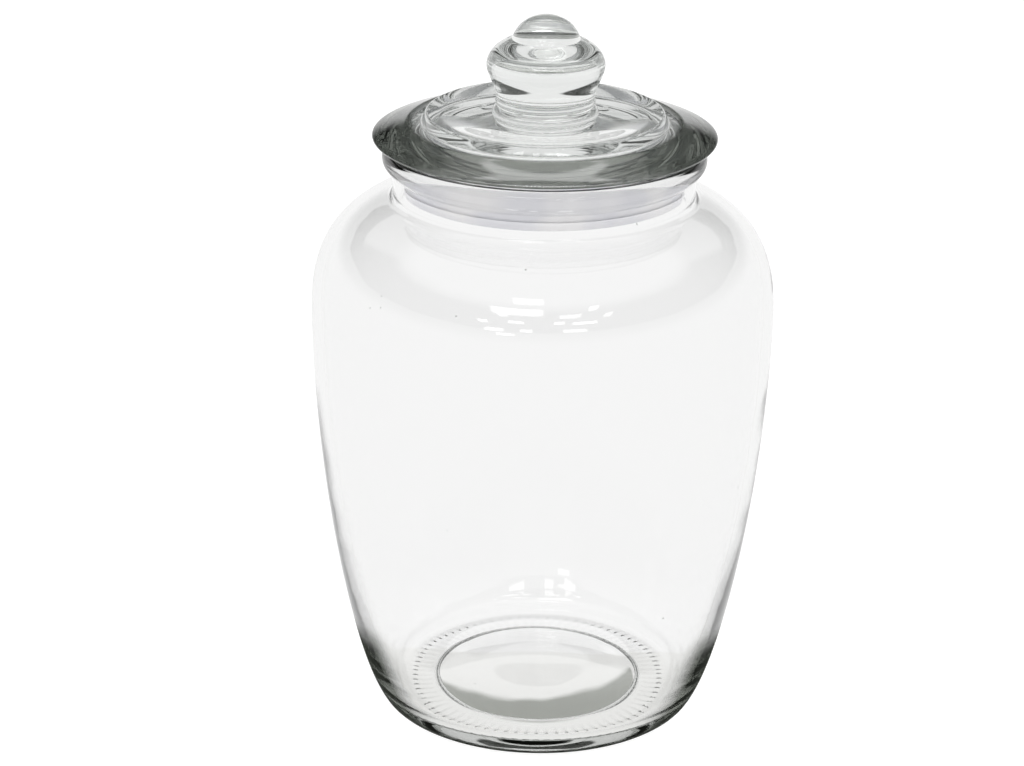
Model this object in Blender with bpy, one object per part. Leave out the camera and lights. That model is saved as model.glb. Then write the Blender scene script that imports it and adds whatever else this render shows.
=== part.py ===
"""A tall glass storage jar with a pressed glass lid and a soft seal ring.

Every piece is turned about the Z axis. An outline is a row of (radius, height) points in metres
that runs down the outer side of its piece. The jar's heights start at the surface it stands on,
the seal's at the underside of its flange, and the lid's at the underside of its rim.
"""
import math

import bmesh
import bpy
import numpy as np

# Clearances
REST_GAP = 0.0003
BORE_GAP = 0.0003
PLUG_GAP = 0.0003

# Outside of the jar, from the table up
FOOT_RADIUS = 0.0466
HEEL_RADIUS = 0.0073
HEEL_END_ANGLE = math.radians(-33.6)
BELLY_RADIUS = 0.0750
BELLY_HEIGHT = 0.1396
SIDE_START_SHARE = 0.138
SIDE_END_SHARE = 0.393
SHOULDER_RISE = 0.0355
SHOULDER_END_ANGLE = math.radians(17.0)
SHOULDER_RISE_SHARE = 0.64
SHOULDER_REACH_SHARE = 0.57
NECK_RADIUS = 0.0487
NECK_FILLET = 0.0018
NECK_RISE = 0.0175

# Lip of the jar
LIP_OVERHANG = 0.0034
LIP_BEAD_DROP = 0.0037
LIP_FOOT_DROP = 0.0078
LIP_FOOT_OVERHANG = 0.0005
LIP_TOP_ROUNDING = 0.0026
LIP_INNER_ROUNDING = 0.0012
LIP_CREASE_DEPTH = 0.0005

# Inside of the jar
WALL_THICKNESS = 0.0034
HEEL_WALL_EXTRA = 0.0022
HEEL_WALL_FADE_POWER = 3
INNER_WALL_START_SHARE = 0.13
NECK_WALL_THICKNESS = 0.0033
NECK_BORE_FOOT_RISE = 0.0017
BASE_THICKNESS = 0.0066
BASE_CENTRE_THICKNESS = 0.0060
FLOOR_LOW_INSET = 0.0046
FLOOR_DOME_SHARE = 0.62
FLOOR_EDGE_SHARE = 0.30
INNER_HEEL_SHARE = 0.52

# Underside of the jar
STANDING_RING_WIDTH = 0.0112
PUSH_UP_STEP_WIDTH = 0.0021
PUSH_UP_STEP_RISE = 0.0030
PUSH_UP_DOME_RISE = 0.0022
PUSH_UP_DOME_SHARE = 0.55

# Seal ring
SEAL_FLANGE_THICKNESS = 0.0011
SEAL_FLANGE_INSET = 0.0023
SEAL_LIP_REACH = 0.0007
SEAL_SLEEVE_THICKNESS = 0.0009
SEAL_LENGTH = 0.0145
SEAL_ROUNDING = 0.0004
SEAL_LIP_DROP_SHARES = (0.24, 0.87)
SEAL_LIP_THICKNESS = 0.0007
SEAL_LIP_RISE = 0.0007

# Rim and plug of the lid
RIM_OVERHANG = 0.0031
RIM_EDGE_HEIGHT = 0.0016
RIM_FOOT_INSET = 0.0036
CROWN_WIDTH = 0.0111
CROWN_RISE = 0.0045
CROWN_ANGLE = math.radians(-24.0)
CROWN_LENGTH_SHARE = 0.50
CROWN_EDGE_SHARE = 0.14
PLUG_DRAFT = 0.0004
PLUG_DEPTH = 0.0153
PLUG_WALL = 0.0040
PLUG_ROUNDING = 0.0013
HOLLOW_CORNER_RADIUS = 0.0042
HOLLOW_CORNER_HEIGHT = 0.0008
HOLLOW_DOME_RISE = 0.0010

# Raised disc of the lid
GROOVE_WIDTH = 0.0041
GROOVE_DEPTH = 0.0003
GROOVE_ROUNDING = 0.0007
DISC_STEP_WIDTH = 0.0015
DISC_STEP_RISE = 0.0032
DISC_ROUNDING = 0.0010
DISC_CREST_WIDTH = 0.0033
DISC_DISH_DEPTH = 0.0031
DISH_EDGE_SHARE = 0.35
DISH_FOOT_SHARE = 0.45

# Knob of the lid, from its foot up
STEM_RADIUS = 0.0157
KNOB_FOOT_FILLET = 0.0005
KNOB_FOOT_RISE = 0.0013
BEAD_OVERHANG = 0.0014
BEAD_LOWER_RISE = 0.0018
BEAD_UPPER_RISE = 0.0019
STEM_WAIST_INSET = 0.0002
COLLAR_OVERHANG = 0.0003
COLLAR_RISE = 0.0018
STEM_TOP_RISE = 0.0020
BALL_OVERHANG = 0.0032
BALL_LOWER_RISE = 0.0099
BALL_UPPER_RISE = 0.0103
BALL_TAPER_SHARE = 0.35
STEM_TAPER_SHARE = 0.38
STEM_FLARE_SHARE = 0.10
CAP_RADIUS = 0.0113
CAP_RISE = 0.0104
CAP_FOOT_ANGLE = math.radians(15.2)

# Places that follow from the sizes above
NECK_FOOT_HEIGHT = BELLY_HEIGHT + SHOULDER_RISE
LIP_HEIGHT = NECK_FOOT_HEIGHT + NECK_RISE
LIP_RADIUS = NECK_RADIUS + LIP_OVERHANG
BORE_RADIUS = NECK_RADIUS - NECK_WALL_THICKNESS
SEAL_TIP_RADIUS = BORE_RADIUS - BORE_GAP
SEAL_SLEEVE_RADIUS = SEAL_TIP_RADIUS - SEAL_LIP_REACH
SEAL_BORE_RADIUS = SEAL_SLEEVE_RADIUS - SEAL_SLEEVE_THICKNESS
PLUG_RADIUS = SEAL_BORE_RADIUS - PLUG_GAP
PUSH_UP_RADIUS = FOOT_RADIUS - STANDING_RING_WIDTH - PUSH_UP_STEP_WIDTH
PUSH_UP_HEIGHT = PUSH_UP_STEP_RISE + PUSH_UP_DOME_RISE
RIM_RADIUS = LIP_RADIUS + RIM_OVERHANG
RIDGE_RADIUS = RIM_RADIUS - CROWN_WIDTH
RIDGE_HEIGHT = RIM_EDGE_HEIGHT + CROWN_RISE
GROOVE_RADIUS = RIDGE_RADIUS - GROOVE_WIDTH
GROOVE_HEIGHT = RIDGE_HEIGHT - GROOVE_DEPTH
DISC_RADIUS = GROOVE_RADIUS - DISC_STEP_WIDTH
DISC_HEIGHT = RIDGE_HEIGHT + DISC_STEP_RISE
DISH_HEIGHT = DISC_HEIGHT - DISC_DISH_DEPTH
SEAL_SEAT_HEIGHT = LIP_HEIGHT + REST_GAP
LID_SEAT_HEIGHT = SEAL_SEAT_HEIGHT + SEAL_FLANGE_THICKNESS + REST_GAP

# Fineness
TURN_STEPS = 60
SIDE_STEPS = 6
SHOULDER_STEPS = 6
FILLET_STEPS = 2
BEAD_STEPS = 3
BALL_STEPS = 4
CROWN_STEPS = 4
FLOOR_STEPS = 3
WALL_SAMPLES = 60
MERGE_DISTANCE = 0.00001
SMOOTH_ANGLE = math.radians(40.0)

# Materials, with their colours linear and with alpha
GLASS_COLOUR = (0.80, 0.84, 0.81, 1.0)
GLASS_ROUGHNESS = 0.02
GLASS_IOR = 1.52
SEAL_COLOUR = (0.74, 0.74, 0.77, 1.0)
SEAL_ROUGHNESS = 0.38
SEAL_IOR = 1.51

LITRES_PER_CUBIC_METRE = 1000


def bend(start, start_pull, end_pull, end, steps):
    """A cubic curve that leaves start along start_pull and reaches end from end + end_pull."""
    start = np.array(start)
    end = np.array(end)
    t = np.linspace(0.0, 1.0, steps + 1)[:, None]
    s = 1.0 - t
    near = start + np.array(start_pull)
    far = end + np.array(end_pull)
    return s**3 * start + 3 * s**2 * t * near + 3 * s * t**2 * far + t**3 * end


def ellipse(centre_height, radius, rise, first_angle, last_angle, steps):
    """Part of an ellipse about a point on the axis, with its angles from the horizontal."""
    angle = np.linspace(first_angle, last_angle, steps + 1)
    return np.column_stack([radius * np.cos(angle), centre_height + rise * np.sin(angle)])


def heel_end():
    """The point where the heel's arc meets the side, and the side's direction there."""
    out = np.array([math.cos(HEEL_END_ANGLE), math.sin(HEEL_END_ANGLE)])
    centre = np.array([FOOT_RADIUS, HEEL_RADIUS])
    return centre + HEEL_RADIUS * out, np.array([-out[1], out[0]])


def heel():
    angle = np.linspace(-math.pi / 2, HEEL_END_ANGLE, BEAD_STEPS + 1)
    arc = np.column_stack([np.cos(angle), np.sin(angle)])
    return np.array([FOOT_RADIUS, HEEL_RADIUS]) + HEEL_RADIUS * arc


def side(steps):
    """The outer side from the heel up to the belly."""
    start, direction = heel_end()
    rise = BELLY_HEIGHT - start[1]
    end_pull = (0.0, -SIDE_END_SHARE * rise)
    return bend(start, direction * SIDE_START_SHARE * rise, end_pull, (BELLY_RADIUS, BELLY_HEIGHT), steps)


def neck_direction():
    """The shoulder's direction where it reaches the neck, inwards and up."""
    return np.array([-math.cos(SHOULDER_END_ANGLE), math.sin(SHOULDER_END_ANGLE)])


def shoulder(steps):
    """The outer shoulder from the belly in to the foot of the neck."""
    end = np.array([NECK_RADIUS + NECK_FILLET, NECK_FOOT_HEIGHT])
    reach = SHOULDER_REACH_SHARE * (BELLY_RADIUS - end[0])
    start_pull = (0.0, SHOULDER_RISE_SHARE * SHOULDER_RISE)
    end_pull = -neck_direction() * reach
    return bend((BELLY_RADIUS, BELLY_HEIGHT), start_pull, end_pull, end, steps)


def inner_wall():
    """The inner wall from the heel up to the neck, and its direction at the heel.

    It is the outer wall moved inwards, square to itself, by a thickness that grows towards the
    heel. The outer wall is followed in fine steps, and a few of its points are kept.
    """
    outer = chain(side(WALL_SAMPLES), shoulder(WALL_SAMPLES))
    along = np.gradient(outer, axis=0)
    along /= np.linalg.norm(along, axis=1)[:, None]
    share = np.clip((outer[:, 1] - outer[0, 1]) / (BELLY_HEIGHT - outer[0, 1]), 0.0, 1.0)
    thickness = WALL_THICKNESS + HEEL_WALL_EXTRA * (1.0 - share) ** HEEL_WALL_FADE_POWER
    wall = outer + thickness[:, None] * np.column_stack([-along[:, 1], along[:, 0]])
    first = round(INNER_WALL_START_SHARE * WALL_SAMPLES)
    side_picks = np.linspace(first, WALL_SAMPLES, SIDE_STEPS + 1)
    shoulder_picks = np.linspace(WALL_SAMPLES, 2 * WALL_SAMPLES, SHOULDER_STEPS + 1)
    picks = np.concatenate([side_picks, shoulder_picks[1:]]).round().astype(int)
    return wall[picks], along[first]


def jar_inside():
    """The jar's inside, from the middle of its floor up to the foot of the neck's bore."""
    wall, climb = inner_wall()
    floor_low = np.array([FOOT_RADIUS - FLOOR_LOW_INSET, BASE_THICKNESS])
    dome_pull = (FLOOR_DOME_SHARE * floor_low[0], 0.0)
    edge_pull = (-FLOOR_EDGE_SHARE * floor_low[0], 0.0)
    centre = (0.0, PUSH_UP_HEIGHT + BASE_CENTRE_THICKNESS)
    floor = bend(centre, dome_pull, edge_pull, floor_low, FLOOR_STEPS)

    pull = INNER_HEEL_SHARE * np.linalg.norm(wall[0] - floor_low)
    inner_heel = bend(floor_low, (pull, 0.0), -climb * pull, wall[0], BEAD_STEPS)

    half = (wall[-1, 0] - BORE_RADIUS) / 2
    bore_foot = (BORE_RADIUS, NECK_FOOT_HEIGHT + NECK_BORE_FOOT_RISE)
    turn = bend(wall[-1], neck_direction() * half, (0.0, -half), bore_foot, FILLET_STEPS)
    return chain(floor, inner_heel, wall, turn)


def jar_lip():
    """Over the lip from its inner edge, down its outer bead and the neck to the shoulder."""
    bore_end = (BORE_RADIUS, LIP_HEIGHT - LIP_INNER_ROUNDING)
    top_inner = (BORE_RADIUS + LIP_INNER_ROUNDING, LIP_HEIGHT)
    half = LIP_INNER_ROUNDING / 2
    inner_edge = bend(bore_end, (0.0, half), (-half, 0.0), top_inner, FILLET_STEPS)

    widest = (LIP_RADIUS, LIP_HEIGHT - LIP_BEAD_DROP)
    top_outer = (LIP_RADIUS - LIP_TOP_ROUNDING, LIP_HEIGHT)
    out_pull = (LIP_TOP_ROUNDING / 2, 0.0)
    upper_bead = bend(top_outer, out_pull, (0.0, LIP_BEAD_DROP / 2), widest, BEAD_STEPS)

    foot = (NECK_RADIUS + LIP_FOOT_OVERHANG, LIP_HEIGHT - LIP_FOOT_DROP)
    drop = (LIP_FOOT_DROP - LIP_BEAD_DROP) / 2
    foot_pull = ((LIP_RADIUS - foot[0]) / 2, drop / 2)
    lower_bead = bend(widest, (0.0, -drop), foot_pull, foot, BEAD_STEPS)

    neck_top = (NECK_RADIUS, LIP_HEIGHT - LIP_FOOT_DROP - LIP_CREASE_DEPTH)
    neck_foot = (NECK_RADIUS, NECK_FOOT_HEIGHT + NECK_FILLET)
    shoulder_end = shoulder(SHOULDER_STEPS)[-1]
    half = NECK_FILLET / 2
    fillet = bend(neck_foot, (0.0, -half), neck_direction() * half, shoulder_end, FILLET_STEPS)
    return chain(inner_edge, upper_bead, lower_bead, [neck_top], fillet)


def jar_underside():
    """The flat ring that the jar stands on, and the push-up inside it, in to the axis."""
    ring_inner = (PUSH_UP_RADIUS + PUSH_UP_STEP_WIDTH, 0.0)
    edge = (PUSH_UP_RADIUS, PUSH_UP_STEP_RISE)
    in_pull = (-PUSH_UP_STEP_WIDTH / 2, 0.0)
    step = bend(ring_inner, in_pull, (0.0, -PUSH_UP_STEP_RISE / 2), edge, BEAD_STEPS)
    reach = PUSH_UP_DOME_SHARE * PUSH_UP_RADIUS
    dome = bend(edge, (-reach, PUSH_UP_DOME_RISE), (reach, 0.0), (0.0, PUSH_UP_HEIGHT), FLOOR_STEPS)
    return chain([(FOOT_RADIUS, 0.0)], step, dome)


def jar_outline():
    outside = chain(shoulder(SHOULDER_STEPS)[::-1], side(SIDE_STEPS)[::-1], heel()[::-1])
    return chain(jar_inside(), jar_lip(), outside, jar_underside())


def seal_lip(height):
    """One thin lip of the seal, which leans up against the neck's bore."""
    half = SEAL_LIP_THICKNESS / 2
    return [
        (SEAL_SLEEVE_RADIUS, height + half),
        (SEAL_TIP_RADIUS, height + half + SEAL_LIP_RISE),
        (SEAL_TIP_RADIUS, height + SEAL_LIP_RISE),
        (SEAL_SLEEVE_RADIUS, height - half),
    ]


def seal_outline():
    """Round the seal from its bore's top, over the flange, down the sleeve and up the bore."""
    flange_radius = LIP_RADIUS - SEAL_FLANGE_INSET
    flange = [
        (SEAL_BORE_RADIUS, SEAL_FLANGE_THICKNESS),
        (flange_radius - SEAL_ROUNDING, SEAL_FLANGE_THICKNESS),
        (flange_radius, SEAL_FLANGE_THICKNESS - SEAL_ROUNDING),
        (flange_radius, SEAL_ROUNDING),
        (flange_radius - SEAL_ROUNDING, 0.0),
        (SEAL_SLEEVE_RADIUS, 0.0),
    ]
    lips = [point for share in SEAL_LIP_DROP_SHARES for point in seal_lip(-share * SEAL_LENGTH)]
    foot = [
        (SEAL_SLEEVE_RADIUS, SEAL_ROUNDING - SEAL_LENGTH),
        (SEAL_SLEEVE_RADIUS - SEAL_ROUNDING, -SEAL_LENGTH),
        (SEAL_BORE_RADIUS, -SEAL_LENGTH),
    ]
    return chain(flange, lips, foot, flange[:1])


def stem_outline():
    """The knob's stem from the ball down: its collar, its bead and its foot on the disc."""
    groove = np.array([STEM_RADIUS, DISH_HEIGHT + KNOB_FOOT_RISE])
    bead = groove + np.array([BEAD_OVERHANG, BEAD_LOWER_RISE])
    waist = np.array([STEM_RADIUS - STEM_WAIST_INSET, bead[1] + BEAD_UPPER_RISE])
    collar = np.array([STEM_RADIUS + COLLAR_OVERHANG, waist[1] + COLLAR_RISE])
    top = np.array([STEM_RADIUS, collar[1] + STEM_TOP_RISE])
    foot = np.array([STEM_RADIUS, DISH_HEIGHT + KNOB_FOOT_FILLET])
    out_pull = (BEAD_OVERHANG / 2, 0.0)
    bead_top = bend(waist, out_pull, (0.0, BEAD_UPPER_RISE / 2), bead, FILLET_STEPS)
    bead_foot = bend(bead, (0.0, -BEAD_LOWER_RISE / 2), out_pull, groove, FILLET_STEPS)
    return chain([top, collar], bead_top, bead_foot, [foot])


def knob_outline():
    """The knob from the top of its cap, over the ball and down its stem to the disc."""
    stem = stem_outline()
    ball_radius = STEM_RADIUS + BALL_OVERHANG
    ball_height = stem[0, 1] + BALL_LOWER_RISE
    cap_foot_radius = CAP_RADIUS * math.cos(CAP_FOOT_ANGLE)
    seam_angle = math.acos(cap_foot_radius / ball_radius)
    seam_height = ball_height + BALL_UPPER_RISE * math.sin(seam_angle)
    cap_height = seam_height - CAP_RISE * math.sin(CAP_FOOT_ANGLE)
    cap = ellipse(cap_height, CAP_RADIUS, CAP_RISE, math.pi / 2, CAP_FOOT_ANGLE, BALL_STEPS)
    cap[0, 0] = 0.0
    upper_ball = ellipse(ball_height, ball_radius, BALL_UPPER_RISE, seam_angle, 0.0, BALL_STEPS)
    ball_pull = (0.0, -BALL_TAPER_SHARE * BALL_LOWER_RISE)
    stem_pull = (STEM_FLARE_SHARE * BALL_OVERHANG, STEM_TAPER_SHARE * BALL_LOWER_RISE)
    lower_ball = bend(upper_ball[-1], ball_pull, stem_pull, stem[0], BALL_STEPS)
    return chain(cap, upper_ball, lower_ball, stem)


def disc_outline():
    """The dished top of the disc from the knob's foot out to its crest, and down to the groove."""
    start = (STEM_RADIUS + KNOB_FOOT_FILLET, DISH_HEIGHT)
    crest_inner = (DISC_RADIUS - DISC_CREST_WIDTH, DISC_HEIGHT)
    reach = crest_inner[0] - start[0]
    foot_pull = (DISH_FOOT_SHARE * reach, 0.0)
    edge_pull = (-DISH_EDGE_SHARE * reach, -DISH_EDGE_SHARE * DISC_DISH_DEPTH)
    dish = bend(start, foot_pull, edge_pull, crest_inner, FLOOR_STEPS)

    crest_outer = (DISC_RADIUS - DISC_ROUNDING, DISC_HEIGHT)
    wall_top = (DISC_RADIUS, DISC_HEIGHT - DISC_ROUNDING)
    half = DISC_ROUNDING / 2
    crest = bend(crest_outer, (half, 0.0), (0.0, half), wall_top, FILLET_STEPS)
    wall_foot = (GROOVE_RADIUS - GROOVE_ROUNDING, GROOVE_HEIGHT + GROOVE_ROUNDING)
    half = GROOVE_ROUNDING / 2
    groove = bend(wall_foot, (0.0, -half), (-half, 0.0), (GROOVE_RADIUS, GROOVE_HEIGHT), FILLET_STEPS)
    return chain(dish, crest, groove)


def rim_outline():
    """The rim from its ridge down over its crown, round its edge and back to its flat underside."""
    widest = (RIM_RADIUS, RIM_EDGE_HEIGHT)
    slope = np.array([math.cos(CROWN_ANGLE), math.sin(CROWN_ANGLE)])
    crown_pull = slope * CROWN_LENGTH_SHARE * CROWN_WIDTH
    edge_pull = (0.0, CROWN_EDGE_SHARE * CROWN_RISE)
    crown = bend((RIDGE_RADIUS, RIDGE_HEIGHT), crown_pull, edge_pull, widest, CROWN_STEPS)
    foot = (RIM_RADIUS - RIM_FOOT_INSET, 0.0)
    drop_pull = (0.0, -RIM_EDGE_HEIGHT / 2)
    edge = bend(widest, drop_pull, (RIM_FOOT_INSET / 2, 0.0), foot, BEAD_STEPS)
    return chain(crown, edge)


def plug_outline():
    """Down the plug's outside, round its foot, up its hollow and in to the axis."""
    outer_radius = PLUG_RADIUS - PLUG_DRAFT
    inner_radius = outer_radius - PLUG_WALL
    outer_foot = (outer_radius, PLUG_ROUNDING - PLUG_DEPTH)
    foot_outer = (outer_radius - PLUG_ROUNDING, -PLUG_DEPTH)
    foot_inner = (inner_radius + PLUG_ROUNDING, -PLUG_DEPTH)
    inner_foot = (inner_radius, PLUG_ROUNDING - PLUG_DEPTH)
    half = PLUG_ROUNDING / 2
    outer_edge = bend(outer_foot, (0.0, -half), (half, 0.0), foot_outer, FILLET_STEPS)
    inner_edge = bend(foot_inner, (-half, 0.0), (0.0, -half), inner_foot, FILLET_STEPS)

    wall_top = (inner_radius - PLUG_DRAFT, HOLLOW_CORNER_HEIGHT - HOLLOW_CORNER_RADIUS)
    corner_end = (wall_top[0] - HOLLOW_CORNER_RADIUS, HOLLOW_CORNER_HEIGHT)
    half = HOLLOW_CORNER_RADIUS / 2
    corner = bend(wall_top, (0.0, half), (half, 0.0), corner_end, BEAD_STEPS)
    centre = (0.0, HOLLOW_CORNER_HEIGHT + HOLLOW_DOME_RISE)
    half = corner_end[0] / 2
    ceiling = bend(corner_end, (-half, HOLLOW_DOME_RISE / 2), (half, 0.0), centre, FILLET_STEPS)
    return chain([(PLUG_RADIUS, 0.0)], outer_edge, inner_edge, corner, ceiling)


def lid_outline():
    return chain(knob_outline(), disc_outline(), rim_outline(), plug_outline())


def chain(*stretches):
    """The stretches as one row of points, without the points that two of them share."""
    points = np.vstack([np.asarray(stretch, dtype=float) for stretch in stretches])
    step = np.linalg.norm(np.diff(points, axis=0), axis=1)
    return points[np.concatenate([[True], step > MERGE_DISTANCE])]


def glass(name):
    """Clear soda-lime glass with the faint grey green of thick glass."""
    material = bpy.data.materials.new(name)
    material.use_nodes = True
    shader = material.node_tree.nodes["Principled BSDF"]
    shader.inputs["Base Color"].default_value = GLASS_COLOUR
    shader.inputs["Roughness"].default_value = GLASS_ROUGHNESS
    shader.inputs["Metallic"].default_value = 0.0
    shader.inputs["IOR"].default_value = GLASS_IOR
    shader.inputs["Transmission Weight"].default_value = 1.0
    return material


def polyethylene(name):
    """Milky soft polyethylene."""
    material = bpy.data.materials.new(name)
    material.use_nodes = True
    shader = material.node_tree.nodes["Principled BSDF"]
    shader.inputs["Base Color"].default_value = SEAL_COLOUR
    shader.inputs["Roughness"].default_value = SEAL_ROUGHNESS
    shader.inputs["Metallic"].default_value = 0.0
    shader.inputs["IOR"].default_value = SEAL_IOR
    return material


def turned(name, outline, height, material):
    """A solid turned from an outline about Z, with its origin on the axis at a height."""
    shape = bmesh.new()
    row = [shape.verts.new((radius, 0.0, rise)) for radius, rise in outline]
    edges = [shape.edges.new(pair) for pair in zip(row, row[1:])]
    bmesh.ops.spin(
        shape,
        geom=row + edges,
        axis=(0.0, 0.0, 1.0),
        cent=(0.0, 0.0, 0.0),
        angle=math.tau,
        steps=TURN_STEPS,
        use_merge=True,
    )
    bmesh.ops.remove_doubles(shape, verts=shape.verts, dist=MERGE_DISTANCE)
    bmesh.ops.recalc_face_normals(shape, faces=shape.faces)
    mesh = bpy.data.meshes.new(name)
    shape.to_mesh(mesh)
    shape.free()
    mesh.shade_smooth()
    mesh.set_sharp_from_angle(angle=SMOOTH_ANGLE)
    mesh.materials.append(material)
    piece = bpy.data.objects.new(name, mesh)
    piece.location.z = height
    bpy.context.scene.collection.objects.link(piece)
    return piece


def litres(outline):
    """The volume under a row of points that runs up a hollow from its floor."""
    radius, height = outline.T
    slices = (radius[1:] ** 2 + radius[1:] * radius[:-1] + radius[:-1] ** 2) / 3
    return LITRES_PER_CUBIC_METRE * math.pi * float(np.sum(slices * np.diff(height)))


def main():
    for old in list(bpy.data.objects):
        bpy.data.objects.remove(old, do_unlink=True)

    turned("glass_jar", jar_outline(), 0.0, glass("jar glass"))
    seal = turned("seal_ring", seal_outline(), SEAL_SEAT_HEIGHT, polyethylene("seal polyethylene"))
    lid = turned("glass_lid", lid_outline(), LID_SEAT_HEIGHT, glass("lid glass"))
    lid.parent = seal
    lid.location.z = LID_SEAT_HEIGHT - SEAL_SEAT_HEIGHT

    brim = chain(jar_inside(), [(BORE_RADIUS, LIP_HEIGHT)])
    print(f"brimful {litres(brim):.3f} litres")


if __name__ == "__main__":
    main()
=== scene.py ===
"""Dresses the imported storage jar: a blown glass jar, a pressed glass lid and a soft seal ring.

It adds a pale paper floor, studio light and a camera. Lengths are in metres. Every piece is turned
about the Z axis from an outline of (radius, height) points that keeps the glass on its right hand side.
"""
import math

import bpy
import numpy as np
from bpy.props import FloatProperty, FloatVectorProperty, IntProperty, PointerProperty
from mathutils import Euler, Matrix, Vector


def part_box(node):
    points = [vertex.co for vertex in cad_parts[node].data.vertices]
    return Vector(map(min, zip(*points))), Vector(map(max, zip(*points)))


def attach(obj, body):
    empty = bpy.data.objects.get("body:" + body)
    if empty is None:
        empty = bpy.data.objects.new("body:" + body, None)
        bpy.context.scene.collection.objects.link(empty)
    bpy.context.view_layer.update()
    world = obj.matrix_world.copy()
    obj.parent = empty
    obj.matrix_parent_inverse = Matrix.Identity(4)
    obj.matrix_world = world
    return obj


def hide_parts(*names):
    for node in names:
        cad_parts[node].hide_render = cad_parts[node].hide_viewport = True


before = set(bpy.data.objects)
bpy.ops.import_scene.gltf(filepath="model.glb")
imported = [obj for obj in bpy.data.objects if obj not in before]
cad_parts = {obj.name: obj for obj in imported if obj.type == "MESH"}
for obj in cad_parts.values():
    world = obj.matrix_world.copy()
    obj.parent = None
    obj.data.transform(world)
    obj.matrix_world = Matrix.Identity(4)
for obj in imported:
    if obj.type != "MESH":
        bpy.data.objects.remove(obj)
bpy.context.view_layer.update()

bl_info = {
    "name": "Glass Storage Jar",
    "version": (1, 0, 0),
    "blender": (4, 5, 0),
    "location": "View3D > Sidebar > Jar",
    "description": "Makes the fine glass surfaces of a storage jar and its lid, and a studio round them",
    "category": "Object",
}

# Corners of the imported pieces, which fix the driving sizes
JAR_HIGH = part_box("glass_jar")[1]
SEAL_LOW, SEAL_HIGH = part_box("seal_ring")
LID_LOW, LID_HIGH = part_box("glass_lid")
REST_GAP = 0.0003

# Outside of the jar, from the table up
HEEL_RADIUS = 0.0073
HEEL_END_ANGLE = math.radians(-33.6)
SIDE_START_SHARE = 0.138
SIDE_END_SHARE = 0.393
SHOULDER_END_ANGLE = math.radians(17.0)
SHOULDER_RISE_SHARE = 0.64
SHOULDER_REACH_SHARE = 0.57
NECK_FILLET = 0.0018
LIP_BEAD_DROP = 0.0037
LIP_FOOT_DROP = 0.0078
LIP_FOOT_OVERHANG = 0.0005
LIP_TOP_ROUNDING = 0.0026
LIP_INNER_ROUNDING = 0.0012
LIP_CREASE_DEPTH = 0.0005

# Inside and underside of the jar
HEEL_WALL_FADE_POWER = 3
INNER_WALL_START_SHARE = 0.13
NECK_WALL_THICKNESS = 0.0033
NECK_BORE_FOOT_RISE = 0.0017
BASE_CENTRE_THICKNESS = 0.0060
FLOOR_LOW_INSET = 0.0046
FLOOR_DOME_SHARE = 0.62
FLOOR_EDGE_SHARE = 0.30
INNER_HEEL_SHARE = 0.52
PUSH_UP_STEP_WIDTH = 0.0021
PUSH_UP_STEP_RISE = 0.0030
PUSH_UP_DOME_RISE = 0.0022
PUSH_UP_DOME_SHARE = 0.55
DASH_OUTER_RADIUS = 0.0443
DASH_INNER_RADIUS = 0.0417
DASH_ROWS = 5
DASH_DEPTH = 0.0004
DASH_WEAR_SHARE = 0.6

# Seal ring
BORE_GAP = 0.0003
PLUG_GAP = 0.0003
SEAL_FLANGE_THICKNESS = 0.0011
SEAL_SEAT_HEIGHT = SEAL_HIGH.z - SEAL_FLANGE_THICKNESS
SEAL_SLEEVE_LENGTH = SEAL_SEAT_HEIGHT - SEAL_LOW.z
SEAL_LIP_REACH = 0.0007
SEAL_SLEEVE_THICKNESS = 0.0009
SEAL_ROUNDING = 0.0004
SEAL_LIP_DROP_SHARES = (0.24, 0.87)
SEAL_LIP_THICKNESS = 0.0007
SEAL_LIP_RISE = 0.0007

# Lid
RIM_EDGE_HEIGHT = 0.0016
RIM_FOOT_INSET = 0.0036
CROWN_WIDTH = 0.0111
CROWN_RISE = 0.0045
CROWN_ANGLE = math.radians(-24.0)
CROWN_LENGTH_SHARE = 0.50
CROWN_EDGE_SHARE = 0.14
CROWN_ROUNDING = 0.0005
PLUG_DRAFT = 0.0004
PLUG_WALL = 0.0040
PLUG_ROUNDING = 0.0013
HOLLOW_CORNER_RADIUS = 0.0042
HOLLOW_CORNER_HEIGHT = 0.0008
HOLLOW_DOME_RISE = 0.0010
GROOVE_WIDTH = 0.0041
GROOVE_DEPTH = 0.0003
GROOVE_ROUNDING = 0.0007
DISC_STEP_WIDTH = 0.0015
DISC_STEP_RISE = 0.0032
DISC_ROUNDING = 0.0010
DISC_CREST_WIDTH = 0.0033
DISC_DISH_DEPTH = 0.0031
DISH_EDGE_SHARE = 0.35
DISH_FOOT_SHARE = 0.45
KNOB_FOOT_FILLET = 0.0005
KNOB_FOOT_RISE = 0.0013
BEAD_OVERHANG = 0.0014
BEAD_LOWER_RISE = 0.0018
BEAD_UPPER_RISE = 0.0019
STEM_WAIST_INSET = 0.0002
COLLAR_OVERHANG = 0.0003
COLLAR_RISE = 0.0018
STEM_TOP_RISE = 0.0020
BALL_LOWER_RISE = 0.0099
BALL_UPPER_RISE = 0.0103
BALL_TAPER_SHARE = 0.35
STEM_TAPER_SHARE = 0.38
STEM_FLARE_SHARE = 0.10
CAP_RADIUS = 0.0113
CAP_RISE = 0.0104
CAP_FOOT_ANGLE = math.radians(15.2)

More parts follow.
